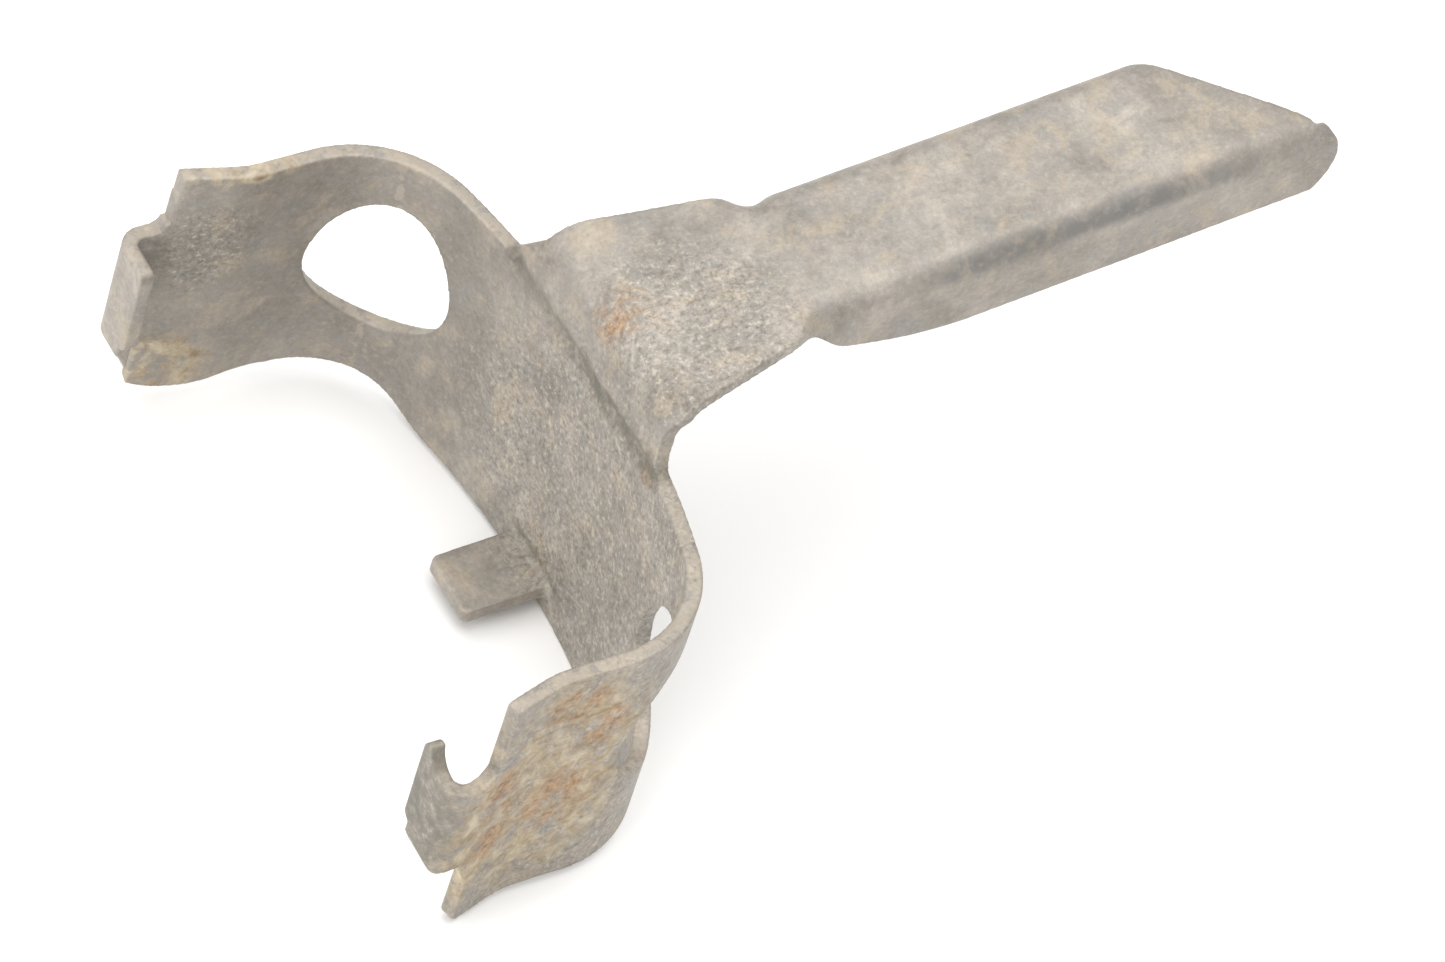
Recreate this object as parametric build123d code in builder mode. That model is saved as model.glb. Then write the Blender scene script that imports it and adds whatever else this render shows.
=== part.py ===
from build123d import *
from math import cos, pi, radians, sin, sqrt, tan
import os

# A lever clip pressed and folded from one piece of sheet steel.
# Two arms with hooked ends reach forwards (-X) from a bowed web, and a tongue bent
# backwards (+X) from the web's upper edge is folded into a channel, the lever's handle.
# +Y is across the arms and +Z is up.  The origin is in the middle of the clip's length
# and width, level with the web's lower edge.

os.makedirs("parts", exist_ok=True)

# ---- Sheet and overall sizes
sheet = 1.1
saddle_depth = 22.84          # front of the hooks to the back of the web
handle_reach = 50.05          # back of the web to the handle's tip
web_back = (saddle_depth - handle_reach) / 2
web_front = web_back - sheet
strip_height = 22.3           # the web, from its lower edge to the arms' upper edge
beyond = 60.0                 # clear of the part on every side, for cuts that go right through
margin = 1.0                  # a little past an edge, for cuts that stop just outside it
length_slack = 0.02           # when edges are picked by their length

# ---- Plan of the web and arms, on the outer face
web_radius = 63.8
web_half_angle = 14.04
corner_radius = 8.56
arm_straight = 3.77
flare_angle = 15.4
flare_radius = 8.0
arm_tail = {1: 3.88, -1: 2.98}
arm_end_lean = 0.6            # the +Y arm's end leans back by this much at the top

# ---- Lower edge of the web and arms.  The two sides of the pressing differ a little,
# so some sizes are given for the +Y side and the -Y side.
web_edge_half = 12.0          # the lowest stretch reaches this far from the middle
arm_edge_start = {1: 19.5, -1: 17.0}
web_lift = {1: 0.4, -1: 0.0}
arm_lift = {1: 1.9, -1: 0.75}
toe_lift = {1: 1.5, -1: 0.6}
toe_drop_start = 3.64         # in front of the corners' centres
toe_drop_end = 5.84
toe_tip = 10.2
toe_tip_lift = {1: 2.2, -1: 0.6}
arm_top_corner = 0.5
arm_toe_corner = {1: 0.2, -1: 0.5}

# ---- Round holes, punched before the corners were bent
hole_radius = 5.75
hole_angle = {1: 42.7, -1: 39.5}  # of the hole's axis from +X, seen from above
hole_height = strip_height - 9.93
hole_points = 24

# ---- Hooks on the arm ends
hook_leg = {1: 0.95, -1: 1.35}
hook_bend_radius = 1.2        # middle of the sheet
lip_end = 19.45               # free end of each lip, from the middle plane
lip_bottom = strip_height - 14.0
lip_end_bottom = strip_height - 13.1
hook_top = strip_height - 5.5
hook_root_top = strip_height - 4.4
hook_root_bottom = {1: strip_height - 16.9, -1: strip_height - 15.5}
hook_belly = {1: 1.0, -1: 1.2}  # how far the lower edge bulges below the lip
hook_hollow_radii = (1.1, 1.6)  # in the upper edge of the -Y hook, beside the arm
lip_hollow_radius = 1.55      # and in the lip, behind a nib at its free end
lip_nib = 0.8
hook_root_radius = 1.1
lip_corner = 0.6
hook_overlap = 0.6            # into the arm, so that the two join
hook_root_reach = 2.0         # back along the arm, of the shape that trims the hook
# Points of the lower edge where it leaves the arm, from the arm's end and the root's bottom
hook_low_points = ((-0.5, 0.1), (-1.6, 0.55))
hook_belly_setback = 0.7      # of the belly's lowest point, from the hook's front
lip_edge_rise = 0.6           # of the lower edge, past the hook's front

# ---- Stop tab, bent forwards from the web
tab_half = 2.5
tab_reach = 7.4
tab_top = strip_height - 19.7
tab_tilt = 3.7
tab_overlap = 0.3             # into the web, so that the two join
tab_corner = 0.6
tab_root_radius = 1.2
tab_bend_radius = 1.0         # inside the bend between the web and the tab
tab_bend_sink = 0.15          # of that rounding's ends into the web and the tab

# ---- Tongue, bent backwards from the web's upper edge
tongue_half = 9.1             # level with the arms' upper edge
tongue_shift = -0.2           # there, of its middle from the middle plane
foot_flare = 1.6              # how much further out its +Y side starts
flare_height = 3.0
flare_power = 1.25
relief_middle = (-9.7, strip_height + 2.2)  # of the hollow in the -Y side of the foot
relief_radii = (1.6, 2.25)
bend_radius = 3.1             # outside of the bend
bend_start = strip_height + 1.75
handle_tilt = 7.7
blend_height = 1.6            # over which the bow of the web fades out
flattest_bow = 0.005
root_steps = 8
tongue_steps = 30
neck_end = 17.2               # where the tongue is as narrow as the handle

# ---- Handle, a channel with its sides folded down
handle_half = 5.5
fold_radius = 1.9
fold_angle = 89.5
side_depth = 6.1
fold_start = 13.3             # distances along the tongue from the arms' upper edge
fold_length = 4.8
side_start = 15.0
side_full = 27.2
side_start_run = 0.8
side_growth = 1.7             # power of the curve along which the sides deepen
tip_far = web_back + 39.4     # where the slanted end starts on the +Y side
tip_near = web_back + 48.2
tip_slant = (6.1, -6.6)       # along and across the handle
tip_turn = (0.6, -1)          # heading of the cut where it meets the -Y side
# Outline of the -Y side's rounded nose, from the tip and from the level of the bend's end
tip_nose = ((-3.4, 8.0), (-2.0, 6.6), (-0.4, 5.0), (0, 3.6), (-0.2, 1.9), (-1.1, 0.2))
nose_height = 8.0             # of the shape that trims the nose, above and below that level
side_inside = sheet - handle_half
edge_angle = 3.0              # the neck's edges are all but flat

# ---- Die line pressed into the web's front, from one side of the tongue's foot to the other
crease_half = 9.3
crease_level = strip_height - 0.3
crease_middle = strip_height - 1.4
crease_radius = 2.0
crease_depth = 0.2


def plan_path(side):
    """Middle line of the sheet from the web's centre to the end of one arm."""
    half = sheet / 2
    web = JernArc((web_back - half, 0), (0, side), web_radius - half, side * web_half_angle)
    corner = JernArc(web @ 1, web % 1, corner_radius - half, side * (90 - web_half_angle))
    arm = Line(corner @ 1, (corner @ 1) + (corner % 1) * arm_straight)
    flare = JernArc(arm @ 1, arm % 1, flare_radius, -side * flare_angle)
    tail = Line(flare @ 1, (flare @ 1) + (flare % 1) * arm_tail[side])
    return web, corner, arm, flare, tail


def bent_circle(reach):
    """A circle in the flat sheet, bent round the corner and seen from the corner's axis."""
    bent_radius = corner_radius - sheet / 2
    turns = [2 * pi * step / hole_points for step in range(hole_points)]
    return [
        (reach * tan(hole_radius * cos(turn) / bent_radius), hole_radius * sin(turn))
        for turn in turns
    ]


# The corner's centre and the arms' ends follow from the plan
arm_end = {}
for side in (-1, 1):
    with BuildLine() as plan_guide:
        web_line, corner_line, arm_line, flare_line, tail_line = plan_path(side)
    arm_end[side] = tail_line @ 1
corner_centre = corner_line.arc_center
tail_direction = tail_line % 1

with BuildPart() as strip:
    for side in (1, -1):
        with BuildSketch() as strip_plan:
            with BuildLine():
                plan_path(side)
            trace(line_width=sheet)
        extrude(amount=strip_height)
    # The lower edge steps up from the web to the arms
    for side in (1, -1):
        with BuildSketch(Plane.YZ.offset(corner_centre.X)) as web_edge:
            with BuildLine():
                rise = Spline(
                    (side * web_edge_half, web_lift[side]),
                    (side * arm_edge_start[side], arm_lift[side]),
                    tangents=[(side, 0), (side, 0)],
                )
                Polyline(
                    rise @ 1,
                    (side * beyond, arm_lift[side]),
                    (side * beyond, -margin),
                    (0, -margin),
                    (0, web_lift[side]),
                    rise @ 0,
                )
            make_face()
        extrude(amount=beyond, mode=Mode.SUBTRACT)
        # and drops a little again at the arms' toes
        with BuildSketch(Plane.XZ) as toe_edge:
            with BuildLine():
                tip_x = corner_centre.X - toe_tip
                drop = Spline(
                    (corner_centre.X, arm_lift[side]),
                    (corner_centre.X - toe_drop_start, arm_lift[side]),
                    (corner_centre.X - toe_drop_end, toe_lift[side]),
                    (tip_x, toe_tip_lift[side]),
                )
                Polyline(drop @ 1, (tip_x, -margin), (corner_centre.X, -margin), drop @ 0)
            make_face()
        extrude(amount=-side * beyond, mode=Mode.SUBTRACT)
    # Corners of the arms' ends
    end_edges = strip.edges().filter_by(lambda edge: abs(edge.length - sheet) < length_slack)
    end_edges = end_edges.filter_by_position(
        Axis.X, arm_end[1].X - margin, arm_end[-1].X + margin
    )
    toe_corners = end_edges.filter_by_position(Axis.Z, 0, strip_height / 2).sort_by(Axis.Y)
    top_corners = end_edges.filter_by_position(Axis.Z, strip_height / 2, strip_height)
    fillet(toe_corners.last, arm_toe_corner[1])
    fillet(toe_corners.first, arm_toe_corner[-1])
    fillet(top_corners, arm_top_corner)
    # The +Y arm's end leans back
    with BuildSketch(Plane.XZ):
        with BuildLine():
            end_x = arm_end[1].X - sheet / 2 * sin(radians(flare_angle))
            Polyline(
                (end_x, 0),
                (end_x + arm_end_lean, strip_height),
                (end_x - margin, strip_height),
                (end_x - margin, 0),
                close=True,
            )
        make_face()
    extrude(amount=-beyond, mode=Mode.SUBTRACT)
    # Round holes through the corners
    for side in (1, -1):
        hole_plane = Plane(
            origin=(corner_centre.X, side * corner_centre.Y, hole_height),
            x_dir=(-sin(radians(hole_angle[side])), side * cos(radians(hole_angle[side])), 0),
            z_dir=(cos(radians(hole_angle[side])), side * sin(radians(hole_angle[side])), 0),
        )
        for reach in (corner_radius / 2, corner_radius * 1.5):
            with BuildSketch(hole_plane.offset(reach)):
                with BuildLine():
                    Spline(bent_circle(reach), periodic=True)
                make_face()
        loft(mode=Mode.SUBTRACT)

# One hook for each arm's end
hooks = {}
for side in (1, -1):
    root_x = arm_end[side].X
    root_low = hook_root_bottom[side]
    with BuildPart() as hook:
        with BuildSketch(Plane.XY.offset(root_low)):
            with BuildLine():
                heading = Vector(tail_direction.X, side * tail_direction.Y)
                start = arm_end[side] - heading * hook_overlap
                leg = Line(start, start + heading * (hook_leg[side] + hook_overlap))
                turn = JernArc(leg @ 1, leg % 1, hook_bend_radius, side * (90 + flare_angle))
                Line(turn @ 1, ((turn @ 1).X, side * lip_end))
            trace(line_width=sheet)
        extrude(amount=hook_root_top - root_low)
        hook_front = (turn @ 1).X - sheet / 2
        # Side view: a level upper edge, and a lower edge that curves up to the lip
        with BuildSketch(Plane.XZ):
            with BuildLine():
                front_x = hook_front - margin
                back_x = root_x + hook_root_reach
                level = Line((front_x, hook_top), (root_x - hook_root_radius, hook_top))
                rise = RadiusArc(
                    level @ 1,
                    (root_x, hook_top + hook_root_radius),
                    -hook_root_radius,
                )
                Polyline(rise @ 1, (back_x, hook_root_top), (back_x, root_low))
                low = Spline(
                    (back_x, root_low),
                    *[(root_x + x, root_low + z) for x, z in hook_low_points],
                    (hook_front + hook_belly_setback, lip_bottom - hook_belly[side]),
                    (hook_front, lip_bottom),
                    (front_x, lip_bottom + lip_edge_rise),
                )
                Line(low @ 1, level @ 0)
            make_face()
        extrude(amount=-side * beyond, mode=Mode.INTERSECT)
        # Front view of the lip: rounded corners at its free end
        with BuildSketch(Plane.YZ.offset(front_x)):
            with BuildLine():
                corner_y = side * (lip_end + lip_corner)
                top = Line((side * beyond, hook_root_top), (corner_y, hook_root_top))
                down = Line(top @ 1, (corner_y, hook_top))
                lip_top = (side * lip_end, hook_top - lip_corner)
                round_top = RadiusArc(down @ 1, lip_top, -side * lip_corner)
                edge = Line(round_top @ 1, (side * lip_end, lip_end_bottom + lip_corner))
                round_low = RadiusArc(edge @ 1, (corner_y, lip_end_bottom), -side * lip_corner)
                Polyline(round_low @ 1, (corner_y, root_low), (side * beyond, root_low), top @ 0)
            make_face()
        extrude(amount=beyond, mode=Mode.INTERSECT)
        if side == -1:
            with BuildSketch(Plane.XZ.offset(lip_end)):
                with Locations((root_x - hook_hollow_radii[0], hook_top)):
                    Ellipse(*hook_hollow_radii)
            extrude(amount=beyond, mode=Mode.SUBTRACT)
            with BuildSketch(Plane.YZ.offset(front_x)):
                with Locations((-lip_end - lip_nib - lip_hollow_radius, hook_top)):
                    Circle(lip_hollow_radius)
                    Rectangle(beyond, 2 * lip_hollow_radius, align=(Align.MAX, Align.CENTER))
            hollow_end = root_x - hook_hollow_radii[0]
            extrude(amount=hollow_end - front_x, mode=Mode.SUBTRACT)
    hooks[side] = hook

bend_centre = Vector(web_front + bend_radius, 0, bend_start)
bend_length = bend_radius * radians(90 - handle_tilt)
bend_level = bend_start - strip_height
handle_axis = Vector(cos(radians(handle_tilt)), 0, sin(radians(handle_tilt)))
handle_normal = Vector(-sin(radians(handle_tilt)), 0, cos(radians(handle_tilt)))
bend_end = bend_centre + handle_normal * bend_radius


def side_flare(path):
    """How much further out the tongue's +Y side is, near its foot, than the -Y side."""
    return foot_flare * max(0, 1 - path / flare_height) ** flare_power


def half_width(path):
    """Half the tongue's width at a distance along it from the arms' upper edge."""
    narrowing = max(0, 1 - path / neck_end)
    return handle_half + (tongue_half - handle_half) * narrowing + side_flare(path) / 2


def middle_shift(path):
    """Distance of the tongue's middle from the middle plane."""
    return tongue_shift * max(0, 1 - path / neck_end) + side_flare(path) / 2


def bow(across, level):
    """How far the bowed sheet stands in front of its middle, fading out up the tongue's foot."""
    faded = level / blend_height
    return flattest_bow * faded + (web_radius - sqrt(web_radius**2 - across**2)) * (1 - faded)


def smooth_step(value):
    """Rise smoothly from 0 to 1 as the value goes from 0 to 1."""
    value = min(1, max(0, value))
    return value * value * (3 - 2 * value)


def tongue_plane(path):
    """Plane across the tongue, its origin in the middle of the outer surface."""
    turned = min(1, max(0, (path - bend_level) / bend_length)) * radians(90 - handle_tilt)
    along = Vector(sin(turned), 0, cos(turned))
    outward = Vector(-cos(turned), 0, sin(turned))
    straight = min(0, path - bend_level) + max(0, path - bend_level - bend_length)
    middle = bend_centre + outward * bend_radius + along * straight
    return Plane(middle + Vector(0, middle_shift(path), 0), x_dir=(0, 1, 0), z_dir=along)


def folded_section(path):
    """Cross section of the sheet, with both edges folded down as far as they are there."""
    angle = edge_angle + (fold_angle - edge_angle) * smooth_step((path - fold_start) / fold_length)
    turn = radians(angle)
    grown = min(1, max(0, (path - side_start) / (side_full - side_start)))
    full_run = side_depth - fold_radius
    run = side_start_run + (full_run - side_start_run) * (1 - (1 - grown) ** side_growth)
    flat = half_width(path) - fold_radius * sin(turn) - run * cos(turn)
    top = Line((0, 0), (flat, 0))
    outer_arc = JernArc(top @ 1, (1, 0), fold_radius, -angle)
    outer = Line(outer_arc @ 1, (outer_arc @ 1) + (outer_arc % 1) * run)
    end = Line(outer @ 1, (outer @ 1) + Vector(-sin(turn), -cos(turn)) * sheet)
    back = Line(end @ 1, (end @ 1) - (outer_arc % 1) * run)
    inner_arc = RadiusArc(back @ 1, (flat, -sheet), sheet - fold_radius)
    Line(inner_arc @ 1, (0, -sheet))
    mirror(about=Plane.YZ)


# Bend, neck and the stretch where the sides fold down
with BuildPart() as tongue:
    for step in range(tongue_steps + 1):
        path = blend_height + (side_full - blend_height) * step / tongue_steps
        with BuildSketch(tongue_plane(path)):
            with BuildLine():
                folded_section(path)
            make_face()
    loft()

# The full channel, from there to the slanted tip
with BuildPart() as channel:
    with BuildSketch(tongue_plane(side_full)):
        with BuildLine():
            folded_section(side_full)
        make_face()
    extrude(amount=handle_reach)
    # The slanted cut across the top and the +Y side, seen from above
    with BuildSketch() as tip_plan:
        with BuildLine():
            slant_end = (tip_far + tip_slant[0], handle_half + tip_slant[1])
            slant = Polyline((tip_far, beyond), (tip_far, handle_half), slant_end)
            turn = Spline(
                slant @ 1,
                (tip_near, side_inside),
                tangents=[tip_slant, tip_turn],
            )
            Polyline(
                turn @ 1,
                (beyond, side_inside),
                (beyond, -beyond),
                (0, -beyond),
                (0, beyond),
                slant @ 0,
            )
        make_face()
    extrude(amount=beyond, mode=Mode.INTERSECT)
    # The rounded end of the -Y side, seen from the side
    with BuildSketch(Plane.XZ) as tip_side:
        with BuildLine():
            nose_x = web_back + handle_reach
            nose = Spline([(nose_x + x, bend_end.Z + z) for x, z in tip_nose])
            nose_low = bend_end.Z - nose_height
            nose_high = bend_end.Z + nose_height
            Polyline(nose @ 1, (0, nose_low), (0, nose_high), nose @ 0)
        make_face()
    extrude(amount=beyond, both=True, mode=Mode.INTERSECT)

# Tongue's foot: the bowed web runs into the straight bend
with BuildPart() as root:
    for step in range(root_steps + 1):
        level = blend_height * (step / root_steps) ** 2
        left = middle_shift(level) + half_width(level)
        right = middle_shift(level) - half_width(level)
        with BuildSketch(Plane.XY.offset(strip_height + level)):
            with BuildLine():
                back_arc = ThreePointArc(
                    (web_back - bow(right, level), right),
                    (web_back, 0),
                    (web_back - bow(left, level), left),
                )
                front_arc = ThreePointArc(
                    (web_front - bow(left, level), left),
                    (web_front, 0),
                    (web_front - bow(right, level), right),
                )
                Line(back_arc @ 1, front_arc @ 0)
                Line(front_arc @ 1, back_arc @ 0)
            make_face()
    loft(ruled=True)

with BuildPart() as tab:
    with BuildSketch(Plane.XZ) as tab_side:
        with BuildLine():
            middle_z = tab_top - sheet / 2
            tab_end = (web_back - tab_reach, middle_z - tan(radians(tab_tilt)) * (tab_reach - sheet))
            Line((web_front + tab_overlap, middle_z), tab_end)
        trace(line_width=sheet)
    extrude(amount=tab_half + tab_root_radius, both=True)
    with BuildSketch(Plane.XY) as tab_plan:
        with BuildLine():
            wide = tab_half + tab_root_radius
            front_x = web_back - tab_reach
            FilletPolyline(
                (web_back, wide),
                (web_front, wide),
                (web_front, tab_half),
                (front_x, tab_half),
                (front_x, -tab_half),
                (web_front, -tab_half),
                (web_front, -wide),
                (web_back, -wide),
                radius=tab_corner,
                close=False,
            )
            Line((web_back, -wide), (web_back, wide))
        make_face()
    extrude(amount=strip_height, mode=Mode.INTERSECT)
    # Inside of the bend, where the tab's upper face turns up into the web's front
    with BuildSketch(Plane.XZ) as bend_side:
        with BuildLine():
            cove_x = web_front + tab_bend_sink
            cove_z = tab_top - tab_bend_sink
            cove = RadiusArc(
                (cove_x - tab_bend_radius, cove_z),
                (cove_x, cove_z + tab_bend_radius),
                -tab_bend_radius,
            )
            Polyline(
                cove @ 1,
                (web_front + sheet / 2, cove_z + tab_bend_radius),
                (web_front + sheet / 2, tab_top - sheet / 2),
                (cove_x - tab_bend_radius, tab_top - sheet / 2),
                cove @ 0,
            )
        make_face()
    extrude(amount=tab_half, both=True)

with BuildPart() as crease:
    inset = crease_radius - crease_depth
    crease_end_x = web_front - bow(crease_half, 0) - inset
    with BuildLine():
        crease_arc = ThreePointArc(
            (crease_end_x, -crease_half, crease_level),
            (web_front - inset, 0, crease_middle),
            (crease_end_x, crease_half, crease_level),
        )
    with BuildSketch(Plane(origin=crease_arc @ 0, z_dir=crease_arc % 0)):
        Circle(crease_radius)
    sweep()

# Hollow cut into the -Y side of the tongue's foot
with BuildPart() as relief:
    with BuildSketch(Plane.YZ.offset(web_front - tongue_half)):
        with Locations(relief_middle):
            Ellipse(*relief_radii)
    extrude(amount=2 * tongue_half)

with BuildPart() as stamped_lever_clip:
    for piece in (strip, hooks[1], hooks[-1], root, tongue, channel, tab):
        add(piece.part)
    add(crease.part, mode=Mode.SUBTRACT)
    add(relief.part, mode=Mode.SUBTRACT)

stamped_lever_clip.part.label = "stamped_lever_clip"
export_step(stamped_lever_clip.part, "parts/stamped_lever_clip.step")
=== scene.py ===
"""Looks for the stamped lever clip: a weathered sheet-steel pressing on a pale floor."""

from collections import namedtuple
from math import cos, radians, sin

import bpy
from mathutils import Matrix, Vector


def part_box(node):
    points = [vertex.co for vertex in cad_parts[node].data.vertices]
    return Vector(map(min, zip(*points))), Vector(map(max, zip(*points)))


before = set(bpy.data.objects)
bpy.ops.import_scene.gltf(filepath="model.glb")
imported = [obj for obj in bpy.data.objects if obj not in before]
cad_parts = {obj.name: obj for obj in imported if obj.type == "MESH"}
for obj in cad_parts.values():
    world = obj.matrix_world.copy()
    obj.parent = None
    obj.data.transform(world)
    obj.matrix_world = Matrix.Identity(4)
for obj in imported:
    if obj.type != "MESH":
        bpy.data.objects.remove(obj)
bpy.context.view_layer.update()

MM = 0.001
NODE = "stamped_lever_clip"
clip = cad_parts[NODE]

# Places on the part, in millimetres, worked out from its box
low, high = (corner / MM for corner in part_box(NODE))
WEB_FRONT = low.x + 21.74
ARM_TOP = high.z - 11.06
ARM_OUTER = low.y + 1.44
ARM_END = low.x + 2.9


# ---------------------------------------------------------------- geometry

# The remesh's cells: 2 to the power of the depth, along the part's length over the scale,
# which makes them about 0.16 mm
REMESH_DEPTH = 9
REMESH_SCALE = 0.9
WEAR_FACTOR = 0.5
WEAR_PASSES = 6

# Dents: size of their features, levels of detail, and height
Dent = namedtuple("Dent", "name size detail height")
DENTS = [
    Dent("waves", 8.0 * MM, 1, 0.10 * MM),
    Dent("pits", 1.1 * MM, 2, 0.02 * MM),
]


def clouds(dent):
    """A procedural cloud texture for small dents."""
    texture = bpy.data.textures.new(dent.name, "CLOUDS")
    texture.noise_scale = dent.size
    texture.noise_depth = dent.detail
    texture.noise_basis = "IMPROVED_PERLIN"
    return texture


def work_surface(obj):
    """Even fine mesh that keeps its edges, slightly worn edges, shallow dents."""
    remesh = obj.modifiers.new("even_mesh", "REMESH")
    remesh.mode = "SHARP"
    remesh.octree_depth = REMESH_DEPTH
    remesh.scale = REMESH_SCALE
    remesh.sharpness = 1.0
    remesh.use_smooth_shade = True
    worn = obj.modifiers.new("worn_edges", "SMOOTH")
    worn.factor = WEAR_FACTOR
    worn.iterations = WEAR_PASSES
    # Hammering and corrosion move the surface in and out
    for dent in DENTS:
        modifier = obj.modifiers.new(dent.name, "DISPLACE")
        modifier.texture = clouds(dent)
        modifier.texture_coords = "LOCAL"
        modifier.strength = dent.height
        modifier.mid_level = 0.5


# ---------------------------------------------------------------- node helpers

# Noises: feature size in millimetres, detail, roughness and distortion
Noise = namedtuple("Noise", "size detail roughness distortion")


class Nodes:
    """Short calls for building one material's node tree."""

    def __init__(self, material):
        material.use_nodes = True
        self.tree = material.node_tree
        self.tree.nodes.clear()

    def add(self, kind, **settings):
        node = self.tree.nodes.new(kind)
        for key, value in settings.items():
            setattr(node, key, value)
        return node

    def link(self, source, target):
        self.tree.links.new(source, target)

    def put(self, socket, value):
        """Links a socket, or sets its plain value."""
        if isinstance(value, bpy.types.NodeSocket):
            self.link(value, socket)
        else:
            socket.default_value = value

    def math(self, operation, a, b=0.0, c=0.0, clamp=False):
        node = self.add("ShaderNodeMath", operation=operation, use_clamp=clamp)
        for socket, value in zip(node.inputs, (a, b, c)):
            self.put(socket, value)
        return node.outputs[0]

    def times(self, *factors):
        """The product of two or more values."""
        product = factors[0]
        for factor in factors[1:]:
            product = self.math("MULTIPLY", product, factor)
        return product

    def largest(self, *values):
        result = values[0]
        for value in values[1:]:
            result = self.math("MAXIMUM", result, value)
        return result

    def axes(self, vector):
        """The X, Y and Z outputs of a vector."""
        split = self.add("ShaderNodeSeparateXYZ")
        self.link(vector, split.inputs[0])
        return split.outputs

    def noise(self, coords, noise):
        node = self.add("ShaderNodeTexNoise", noise_dimensions="3D")
        self.link(coords, node.inputs["Vector"])
        node.inputs["Scale"].default_value = 1 / noise.size
        node.inputs["Detail"].default_value = noise.detail
        node.inputs["Roughness"].default_value = noise.roughness
        node.inputs["Distortion"].default_value = noise.distortion
        return node.outputs["Fac"]

    def step(self, value, start, end):
        """Rises smoothly from 0 at start to 1 at end."""
        node = self.add("ShaderNodeMapRange", clamp=True, interpolation_type="SMOOTHSTEP")
        self.put(node.inputs["Value"], value)
        node.inputs["From Min"].default_value = start
        node.inputs["From Max"].default_value = end
        return node.outputs["Result"]

    def mix(self, factor, a, b, blend="MIX"):
        node = self.add("ShaderNodeMix", data_type="RGBA", blend_type=blend)
        factor_socket, _, _, _, _, _, a_socket, b_socket = node.inputs[:8]
        self.put(factor_socket, factor)
        self.put(a_socket, a)
        self.put(b_socket, b)
        return node.outputs[2]

    def ramp(self, value, stops):
        node = self.add("ShaderNodeValToRGB")
        elements = node.color_ramp.elements
        while len(elements) < len(stops):
            elements.new(0.5)
        for element, (place, colour) in zip(elements, stops):
            element.position = place
            element.color = (*colour, 1)
        self.link(value, node.inputs["Fac"])
        return node.outputs["Color"]

    def spot(self, coords, centre_mm, radii_mm):
        """1 at a point, falling to 0 at an ellipsoid round it."""
        offset = self.add("ShaderNodeVectorMath", operation="SUBTRACT")
        self.link(coords, offset.inputs[0])
        offset.inputs[1].default_value = centre_mm
        scaled = self.add("ShaderNodeVectorMath", operation="DIVIDE")
        self.link(offset.outputs[0], scaled.inputs[0])
        scaled.inputs[1].default_value = radii_mm
        length = self.add("ShaderNodeVectorMath", operation="LENGTH")
        self.link(scaled.outputs[0], length.inputs[0])
        return self.math("SUBTRACT", 1.0, length.outputs["Value"], clamp=True)

    def patches(self, coords, spots, full):
        """0 outside the spots, rising inside them to 1 where a spot's value reaches full."""
        inside = 0.0
        for centre, radii in spots:
            inside = self.math("MAXIMUM", self.spot(coords, centre, radii), inside)
        return self.step(inside, 0.0, full)


# ---------------------------------------------------------------- steel

GRAIN = Noise(0.25, 4.0, 0.65, 0.0)
SPECKLE = Noise(0.42, 5.0, 0.72, 0.3)
MOTTLE = Noise(1.7, 6.0, 0.66, 0.5)
CLOUD = Noise(5.5, 4.0, 0.55, 0.4)
STAIN = Noise(3.4, 5.0, 0.62, 1.0)
TINT = Noise(2.6, 4.0, 0.6, 0.6)
CRUST_NOISE = Noise(1.4, 6.0, 0.7, 0.6)
RUST_NOISE = Noise(2.0, 6.0, 0.68, 0.8)
RUST_GRAIN = Noise(0.5, 4.0, 0.65, 0.0)
RUBBED_AND_HIGHLIGHT_NOISE = Noise(1.0, 4.0, 0.6, 0.0)
DIRT_AND_SHADE_NOISE = Noise(0.9, 5.0, 0.7, 0.0)
LINE_NOISE = Noise(2.4, 3.0, 0.6, 0.0)

# Colours of the bare steel, from dark oxide to pale worn metal, and of crust and rust
STEEL_TONES = [
    (0.34, (0.195, 0.177, 0.155)),
    (0.46, (0.272, 0.247, 0.216)),
    (0.55, (0.330, 0.298, 0.262)),
    (0.68, (0.425, 0.387, 0.335)),
]
CRUST_TONES = [
    (0.34, (0.195, 0.140, 0.075)),
    (0.46, (0.335, 0.265, 0.170)),
    (0.56, (0.435, 0.360, 0.250)),
    (0.68, (0.520, 0.460, 0.355)),
]
RUST_TONES = [
    (0.36, (0.180, 0.095, 0.042)),
    (0.50, (0.315, 0.190, 0.098)),
    (0.66, (0.440, 0.305, 0.178)),
]

# Films over the steel: colour, the most that they cover, and the values between which
# they fade in
Film = namedtuple("Film", "colour cover start end")
BLUE_OXIDE = Film((0.250, 0.243, 0.228, 1), 0.45, 0.52, 0.40)
TAN_FILM = Film((0.395, 0.330, 0.245, 1), 0.50, 0.50, 0.68)
DARK_SPECKS = Film((0.130, 0.112, 0.088, 1), 0.62, 0.50, 0.34)
PALE_SPECKS = Film((0.505, 0.460, 0.380, 1), 0.65, 0.52, 0.66)
# Pale film: rubbed wear, and a painted highlight on the upward edges
RUBBED_AND_HIGHLIGHT = Film((0.430, 0.372, 0.295, 1), 0.42, 0.34, 0.52)
# Dark film: painted shade in hollows, notches, the tab's corner and the crease, and darker
# patches at the arms' ends
DIRT_AND_SHADE = Film((0.120, 0.110, 0.085, 1), 1.0, 0.25, 0.60)
# Painted shade along the handle's -Y fold
FOLD_PAINTED_SHADE = Film((0.145, 0.145, 0.140, 1), 0.80, 0.30, 0.58)
DULL_COLOUR = (0.185, 0.168, 0.146, 1)

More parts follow.
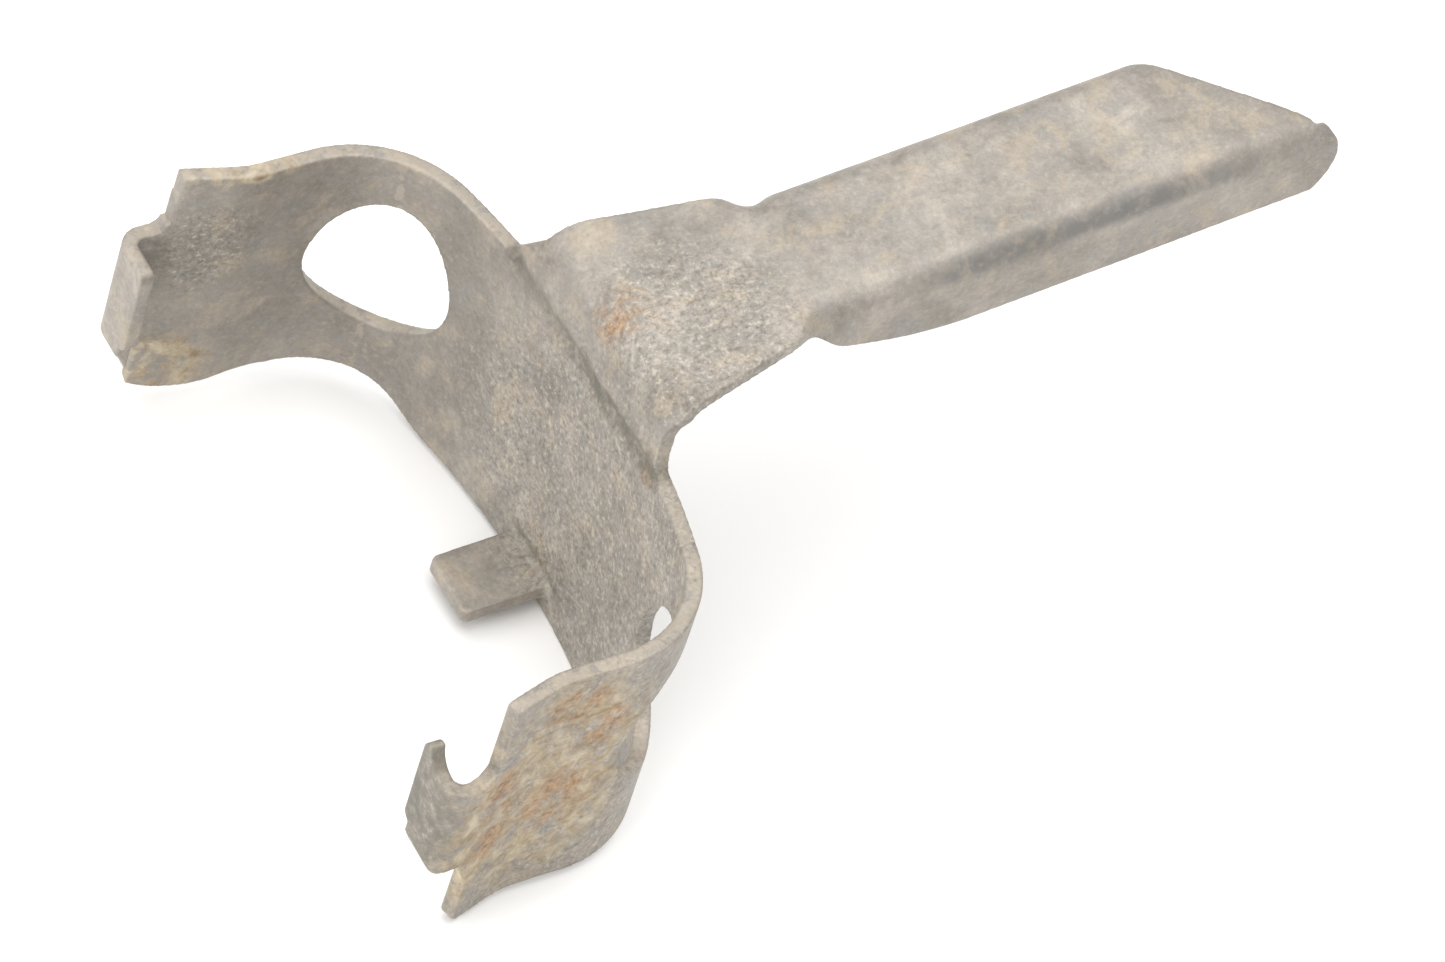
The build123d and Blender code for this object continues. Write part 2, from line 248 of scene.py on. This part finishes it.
# Patches: how much of the steel each kind covers, the value inside a spot from which it is
# at its full, and the noise values between which it fades in
DULL_COVER, DULL_FULL = 0.45, 0.6
CRUST_COVER, CRUST_FULL, CRUST_FADE = 0.85, 0.45, (0.36, 0.56)
RUST_COVER, RUST_FULL, RUST_FADE = 0.80, 0.6, (0.38, 0.60)
DIRT_AND_SHADE_COVER, DIRT_AND_SHADE_FULL = 0.72, 0.8
SPECKLED_FULL = 0.5
SMOOTH_SHARE = 0.32  # strength of the specks outside the speckled patches
# Contrast of the grain: what the specks' strength adds, and what is everywhere
FLECKS, PLAIN_FLECKS = 0.85, 0.15

# Pointiness of corners and of hollows, and how much painted shade, in the dirt colour, darkens
# the hollows
CORNER = (0.515, 0.58)
HOLLOW = (0.485, 0.43)
HOLLOW_SHADE = 0.6

# The sheet's upward edges, which are rubbed and also painted paler as a highlight because they
# face up: how far they face up, and their heights in millimetres, under the tongue's foot and
# over the tab
UPWARD = (0.45, 0.85)
BELOW_TONGUE = (ARM_TOP + 0.5, ARM_TOP + 0.2)
ABOVE_TAB = (5.0, 6.0)

# Painted shade along the bend's crease, in millimetres: the dark band is lowest in the middle
# and rises with the square of the distance from it
LINE_MIDDLE = ARM_TOP - 1.4
LINE_RISE = 0.0127
LINE_WANDER = 2.2
LINE_BAND = (1.5, 0.35)
LINE_ENDS = (10.2, 9.2)
LINE_DEPTH = (WEB_FRONT + 0.5, WEB_FRONT + 0.3)
LINE_DARKER_SIDE = (6.0, -2.0)
LINE_COVER, LINE_EXTRA_COVER = 0.50, 0.35

# Painted shade on the fold of the handle's -Y side: where along the handle, and which way its
# surface faces
FOLD_START = (2.0, 9.0)
FOLD_END = (33.0, 24.0)
FOLD_UP = 0.55
FOLD_UP_FADE = (0.62, 0.10)
FOLD_SIDE = (-0.2, -0.5)

METALLIC = 0.40
ROUGHNESS, ROUGHNESS_MOTTLE, ROUGHNESS_COVERED = 0.38, 0.30, 0.25
BUMP_STRENGTH, BUMP_DISTANCE = 0.60, 0.07 * MM
BUMP_GRAIN, BUMP_SPECKLE, BUMP_MOTTLE, BUMP_COVERED = 0.40, 1.2, 0.8, 0.8

# Patches of colour: each has a centre and radii in millimetres
RUST_SPOTS = [
    ((-14.0, 0.4, 26.5), (3.6, 2.3, 2.8)),
    ((-24.3, ARM_OUTER, 16.5), (2.2, 1.5, 2.6)),
    ((-26.3, ARM_OUTER, 10.0), (3.6, 1.5, 4.2)),
    ((-31.6, ARM_OUTER - 0.9, 14.0), (1.9, 1.5, 2.6)),
    ((-31.4, ARM_OUTER - 0.9, 9.5), (2.6, 1.5, 4.5)),
    ((-27.0, ARM_OUTER, 19.5), (3.0, 1.5, 2.4)),
    ((-15.2, -8.3, ARM_TOP - 0.9), (1.2, 1.2, 1.2)),
]
CRUST_SPOTS = [
    ((-27.0, ARM_OUTER, 12.0), (8.5, 2.6, 13.0)),
    ((-33.0, ARM_OUTER - 1.0, 9.0), (3.0, 2.6, 9.0)),
    ((-31.5, 21.7, 4.0), (4.5, 2.0, 4.0)),
    ((-29.0, 21.4, ARM_TOP), (5.0, 2.4, 1.0)),
]
SPECKLED_SPOTS = [
    ((-16.5, -13.0, 14.0), (5.0, 9.0, 16.0)),
    ((-14.5, -4.0, 11.0), (4.5, 19.0, 16.0)),
    ((-10.0, -3.0, 27.0), (9.0, 9.0, 6.0)),
    ((-26.0, ARM_OUTER, 10.0), (13.0, 4.0, 17.0)),
    ((-31.0, 21.0, 15.5), (4.5, 3.0, 5.0)),
]
# Darker patches: painted shade where the tab meets the web and in the notches at the tongue's
# foot, and darker patches at the arms' ends and hooks
DIRT_AND_SHADE_SPOTS = [
    ((ARM_END - 0.6, 21.6, 15.0), (2.2, 1.8, 5.0)),
    ((WEB_FRONT - 0.2, 0.0, 3.0), (0.9, 4.5, 0.9)),
    ((WEB_FRONT - 0.9, -9.2, ARM_TOP + 0.2), (1.3, 1.3, 1.3)),
    ((WEB_FRONT - 0.6, 9.6, ARM_TOP), (1.2, 1.6, 1.0)),
    ((ARM_END - 2.6, ARM_OUTER + 1.0, 12.0), (3.2, 5.5, 10.0)),
    ((ARM_END - 1.0, ARM_OUTER - 1.4, 3.0), (1.2, 2.4, 7.0)),
]
DULL_SPOTS = [
    ((-17.0, 16.0, 12.0), (9.0, 12.0, 22.0)),
    ((34.0, 0.0, 31.0), (12.0, 9.0, 8.0)),
    ((-27.0, 22.0, 12.0), (10.0, 4.0, 18.0)),
]


def crease_painted_shade(n, at):
    """Painted shade: a dark band along the crease in the web's front, below the tongue."""
    x, across, height = n.axes(at)
    level = n.math("MULTIPLY_ADD", n.times(across, across), LINE_RISE, LINE_MIDDLE)
    wander = n.math("SUBTRACT", n.noise(at, LINE_NOISE), 0.5)
    above = n.math("SUBTRACT", height, level)
    off = n.math("ABSOLUTE", n.math("MULTIPLY_ADD", wander, LINE_WANDER, above))
    band = n.step(off, *LINE_BAND)
    inside = n.step(n.math("ABSOLUTE", across), *LINE_ENDS)
    in_front = n.step(x, *LINE_DEPTH)
    darker = n.step(across, *LINE_DARKER_SIDE)
    cover = n.math("MULTIPLY_ADD", darker, LINE_EXTRA_COVER, LINE_COVER)
    return n.times(band, inside, in_front, cover)


def fold_shade(n, at, normal):
    """Painted shade: the bluish dark band along the handle's rounded -Y fold, where its
    surface faces partly up and towards -Y.
    """
    x = n.axes(at)["X"]
    facing = n.axes(normal)
    on_handle = n.times(n.step(x, *FOLD_START), n.step(x, *FOLD_END))
    off_fold = n.math("ABSOLUTE", n.math("SUBTRACT", facing["Z"], FOLD_UP))
    return n.times(on_handle, n.step(off_fold, *FOLD_UP_FADE), n.step(facing["Y"], *FOLD_SIDE))


def film(n, colour, layer, value, *masks):
    """Lays a film over a colour where the value is in the film's range."""
    shown = n.times(n.step(value, layer.start, layer.end), *masks)
    return n.mix(n.times(shown, layer.cover), colour, layer.colour)


def upward_edges(n, at, normal):
    """1 on the sheet's upward edges, between the tab and the tongue."""
    height = n.axes(at)["Z"]
    upward = n.step(n.axes(normal)["Z"], *UPWARD)
    return n.times(upward, n.step(height, *BELOW_TONGUE), n.step(height, *ABOVE_TAB))


def weathered_steel():
    """Grey oxidised steel with corrosion, crust, rust, rubbed edges with a painted highlight,
    dirt-coloured patches, and painted shade in hollows, notches, the crease and the fold.
    """
    material = bpy.data.materials.new("weathered_steel")
    n = Nodes(material)
    coords = n.add("ShaderNodeTexCoord")
    normal = coords.outputs["Normal"]
    to_mm = n.add("ShaderNodeVectorMath", operation="SCALE")
    n.link(coords.outputs["Object"], to_mm.inputs[0])
    to_mm.inputs["Scale"].default_value = 1 / MM
    at = to_mm.outputs[0]
    pointiness = n.add("ShaderNodeNewGeometry").outputs["Pointiness"]

    grain = n.noise(at, GRAIN)
    speckle = n.noise(at, SPECKLE)
    mottle = n.noise(at, MOTTLE)
    speckled = n.patches(at, SPECKLED_SPOTS, SPECKLED_FULL)
    rough_zone = n.math("MULTIPLY_ADD", speckled, 1 - SMOOTH_SHARE, SMOOTH_SHARE)

    # Bare steel, with dull, bluish and tan films in soft blotches
    tone = n.math("MULTIPLY_ADD", n.noise(at, CLOUD), 0.5, n.times(mottle, 0.5))
    colour = n.ramp(tone, STEEL_TONES)
    dull = n.times(n.patches(at, DULL_SPOTS, DULL_FULL), DULL_COVER)
    colour = n.mix(dull, colour, DULL_COLOUR)
    colour = film(n, colour, BLUE_OXIDE, n.noise(at, STAIN))
    colour = film(n, colour, TAN_FILM, n.noise(at, TINT))
    # Fine corrosion: dark specks and pale crystals, stronger where the surface is rough
    colour = film(n, colour, DARK_SPECKS, speckle, rough_zone)
    colour = film(n, colour, PALE_SPECKS, speckle, rough_zone)
    flecks = n.math("MULTIPLY_ADD", rough_zone, FLECKS, PLAIN_FLECKS)
    fine = n.math("MULTIPLY_ADD", n.math("SUBTRACT", grain, 0.5), flecks, 1.0)
    colour = n.mix(1.0, colour, fine, "MULTIPLY")

    # Tan crust and rust
    crust = n.times(n.patches(at, CRUST_SPOTS, CRUST_FULL), n.step(mottle, *CRUST_FADE))
    crust_colour = n.ramp(n.noise(at, CRUST_NOISE), CRUST_TONES)
    colour = n.mix(n.times(crust, CRUST_COVER), colour, crust_colour)
    rust_noise = n.noise(at, RUST_NOISE)
    rust = n.times(n.patches(at, RUST_SPOTS, RUST_FULL), n.step(rust_noise, *RUST_FADE))
    rust_colour = n.ramp(n.noise(at, RUST_GRAIN), RUST_TONES)
    colour = n.mix(n.times(rust, RUST_COVER), colour, rust_colour)

    # Upward edges of the sheet, rubbed to pale tan metal and painted paler as a highlight, and
    # corners rubbed to pale tan metal
    edges = n.largest(upward_edges(n, at, normal), n.step(pointiness, *CORNER))
    colour = film(n, colour, RUBBED_AND_HIGHLIGHT, n.noise(at, RUBBED_AND_HIGHLIGHT_NOISE), edges)

    # Darkening: painted shade in hollows, at the notches, at the tab's corner and along the
    # crease, darker patches at the arms' ends and hooks, and painted shade along the handle's
    # fold
    dirt_and_shade = n.largest(
        n.times(n.step(pointiness, *HOLLOW), HOLLOW_SHADE),
        n.times(n.patches(at, DIRT_AND_SHADE_SPOTS, DIRT_AND_SHADE_FULL), DIRT_AND_SHADE_COVER),
        crease_painted_shade(n, at),
    )
    colour = film(n, colour, DIRT_AND_SHADE, n.noise(at, DIRT_AND_SHADE_NOISE), dirt_and_shade)
    # Painted shade along the handle's fold
    colour = film(n, colour, FOLD_PAINTED_SHADE, mottle, fold_shade(n, at, normal))

    shader = n.add("ShaderNodeBsdfPrincipled")
    n.link(colour, shader.inputs["Base Color"])
    covered = n.largest(rust, crust)
    bare = n.math("SUBTRACT", 1.0, covered)
    n.link(n.times(bare, METALLIC), shader.inputs["Metallic"])
    rough = n.math("MULTIPLY_ADD", mottle, ROUGHNESS_MOTTLE, ROUGHNESS)
    rough = n.math("MULTIPLY_ADD", covered, ROUGHNESS_COVERED, rough, clamp=True)
    n.link(rough, shader.inputs["Roughness"])

    height = n.times(grain, BUMP_GRAIN)
    height = n.math("MULTIPLY_ADD", n.times(speckle, rough_zone), BUMP_SPECKLE, height)
    height = n.math("MULTIPLY_ADD", mottle, BUMP_MOTTLE, height)
    height = n.math("MULTIPLY_ADD", n.times(covered, rust_noise), BUMP_COVERED, height)
    bump = n.add("ShaderNodeBump")
    bump.inputs["Strength"].default_value = BUMP_STRENGTH
    bump.inputs["Distance"].default_value = BUMP_DISTANCE
    n.link(height, bump.inputs["Height"])
    n.link(bump.outputs["Normal"], shader.inputs["Normal"])

    output = n.add("ShaderNodeOutputMaterial")
    n.link(shader.outputs["BSDF"], output.inputs["Surface"])
    return material


# ---------------------------------------------------------------- stage

FLOOR_REACH = 3.0
FLOOR_COLOUR = (0.90, 0.90, 0.90, 1)
FLOOR_ROUGHNESS = 0.9
FLOOR_SPECULAR = 0.1
DOME_COLOUR = (1.0, 0.99, 0.975, 1)
DOME_STRENGTH = 0.95
LIGHT_AIM = Vector((0, 0, 0.015))


def floor():
    """A plain pale floor under the part."""
    mesh = bpy.data.meshes.new("floor")
    r = FLOOR_REACH
    corners = [(-r, -r, 0), (r, -r, 0), (r, r, 0), (-r, r, 0)]
    mesh.from_pydata(corners, [], [(0, 1, 2, 3)])
    plane = bpy.data.objects.new("floor", mesh)
    bpy.context.collection.objects.link(plane)
    material = bpy.data.materials.new("pale_floor")
    n = Nodes(material)
    shader = n.add("ShaderNodeBsdfPrincipled")
    shader.inputs["Base Color"].default_value = FLOOR_COLOUR
    shader.inputs["Roughness"].default_value = FLOOR_ROUGHNESS
    shader.inputs["Specular IOR Level"].default_value = FLOOR_SPECULAR
    output = n.add("ShaderNodeOutputMaterial")
    n.link(shader.outputs["BSDF"], output.inputs["Surface"])
    mesh.materials.append(material)


def area_light(name, place, size, power):
    """A square soft box aimed at the part's middle."""
    light = bpy.data.lights.new(name, "AREA")
    light.shape = "SQUARE"
    light.size = size
    light.energy = power
    lamp = bpy.data.objects.new(name, light)
    bpy.context.collection.objects.link(lamp)
    lamp.location = place
    lamp.rotation_euler = (LIGHT_AIM - Vector(place)).to_track_quat("-Z", "Y").to_euler()


def studio():
    """A pale dome, one large soft box overhead and a weaker one in front of the arms."""
    world = bpy.data.worlds.new("studio")
    bpy.context.scene.world = world
    world.use_nodes = True
    background = world.node_tree.nodes["Background"]
    background.inputs["Color"].default_value = DOME_COLOUR
    background.inputs["Strength"].default_value = DOME_STRENGTH
    area_light("overhead", (0.02, 0.05, 0.75), size=0.9, power=5.0)
    area_light("front", (-0.80, -0.10, 0.30), size=0.6, power=3.6)


CAMERA_AZIMUTH = radians(-43.78)
CAMERA_ELEVATION = radians(48.74)
CAMERA_ROLL = radians(-19.39)
CAMERA_DISTANCE = 0.5063
CAMERA_TARGET = Vector((-9.42, -9.00, 19.14)) * MM
CAMERA_SENSOR = 36.0
CAMERA_LENS = 199.3
CAMERA_NEAR, CAMERA_FAR = 0.01, 20


def camera():
    """A long lens, looking down over the hooked arms with the lever rising to the right."""
    a, e, r = CAMERA_AZIMUTH, CAMERA_ELEVATION, CAMERA_ROLL
    level = Vector((cos(a), sin(a), 0))
    rising = Vector((-sin(a) * sin(e), cos(a) * sin(e), cos(e)))
    back = Vector((sin(a) * cos(e), -cos(a) * cos(e), sin(e)))
    right = level * cos(r) - rising * sin(r)
    up = level * sin(r) + rising * cos(r)
    data = bpy.data.cameras.new("camera")
    data.sensor_width = CAMERA_SENSOR
    data.lens = CAMERA_LENS
    data.clip_start = CAMERA_NEAR
    data.clip_end = CAMERA_FAR
    eye = bpy.data.objects.new("camera", data)
    bpy.context.collection.objects.link(eye)
    place = Matrix((right, up, back)).transposed().to_4x4()
    place.translation = CAMERA_TARGET + back * CAMERA_DISTANCE
    eye.matrix_world = place
    bpy.context.scene.camera = eye


work_surface(clip)
clip.data.materials.clear()
clip.data.materials.append(weathered_steel())
floor()
studio()
camera()
bpy.context.scene.view_settings.view_transform = "Standard"
